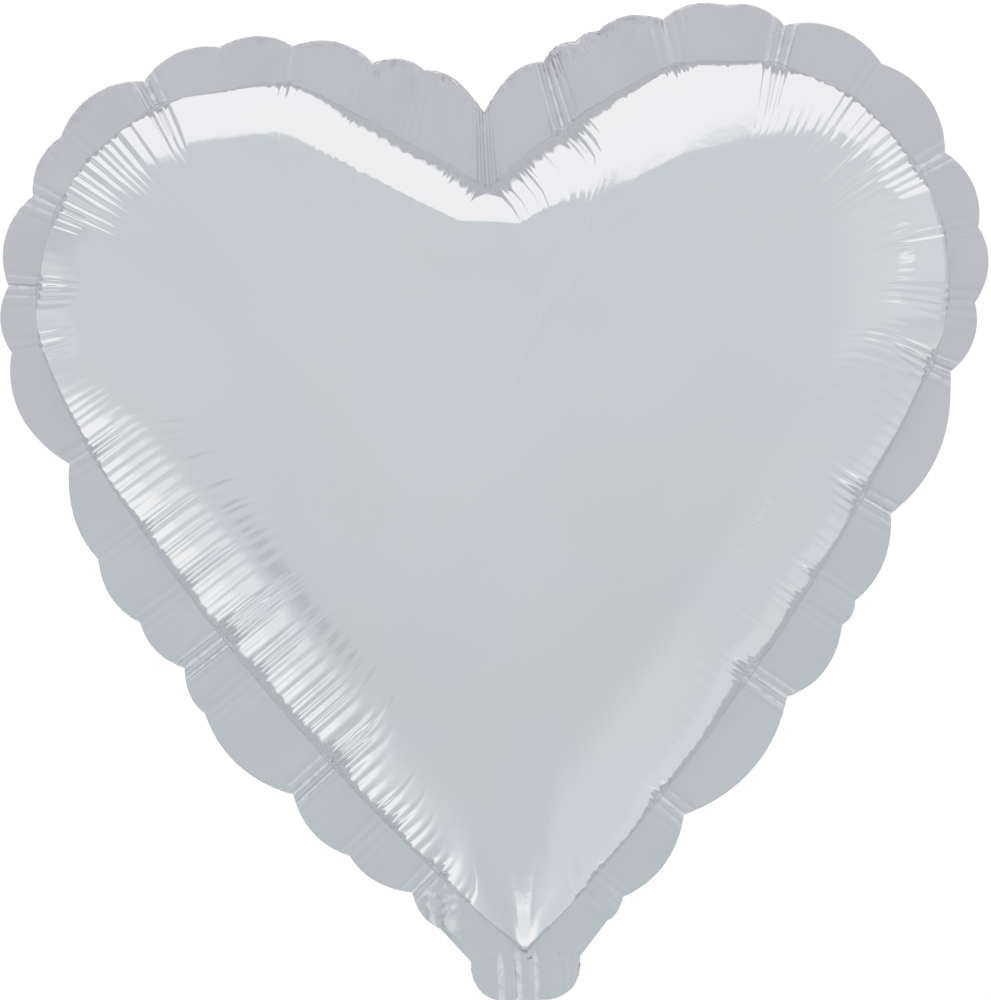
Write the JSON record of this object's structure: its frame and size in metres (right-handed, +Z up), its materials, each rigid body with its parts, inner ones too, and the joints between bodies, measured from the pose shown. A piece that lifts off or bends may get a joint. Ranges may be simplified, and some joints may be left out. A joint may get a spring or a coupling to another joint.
{
  "type": "heart foil balloon",
  "caption": "Filled heart-shaped foil balloon: two domed films welded inside a scalloped flange, a short folding tail and a flat self-sealing valve.",
  "frame": {"origin": "middle of the crease between heart and tail, where the ribbon is tied", "axes": "+Z up through the cleft, front facing -Y, +X to the right seen from the front"},
  "size_m": [0.3992, 0.1808, 0.3989],
  "materials": {
    "foil": "metallised film, soft silver mirror",
    "weld": "heat weld between the films, seen at the trimmed edge",
    "valve_film": "clear limp film",
    "valve_weld": "heat weld, slightly cloudy",
    "release_coat": "thin printed coating, tinted"
  },
  "bodies": {
    "heart": {"front_panel": "foil", "back_panel": "foil", "rim_weld": "weld", "valve_front_film": "valve_film", "valve_back_film": "valve_film", "valve_edge_weld_left": "valve_weld", "valve_edge_weld_right": "valve_weld", "release_strip": "release_coat"},
    "tail": {"tail_front_ply": "foil", "tail_back_ply": "foil", "tail_side_weld_left": "weld", "tail_side_weld_right": "weld"}
  },
  "joints": [
    {"name": "tail_fold", "type": "hinge", "parent": "heart", "child": "tail", "pos_m": [0, 0, 0], "axis": [1, 0, 0], "range_deg": [-90, 90]}
  ]
}
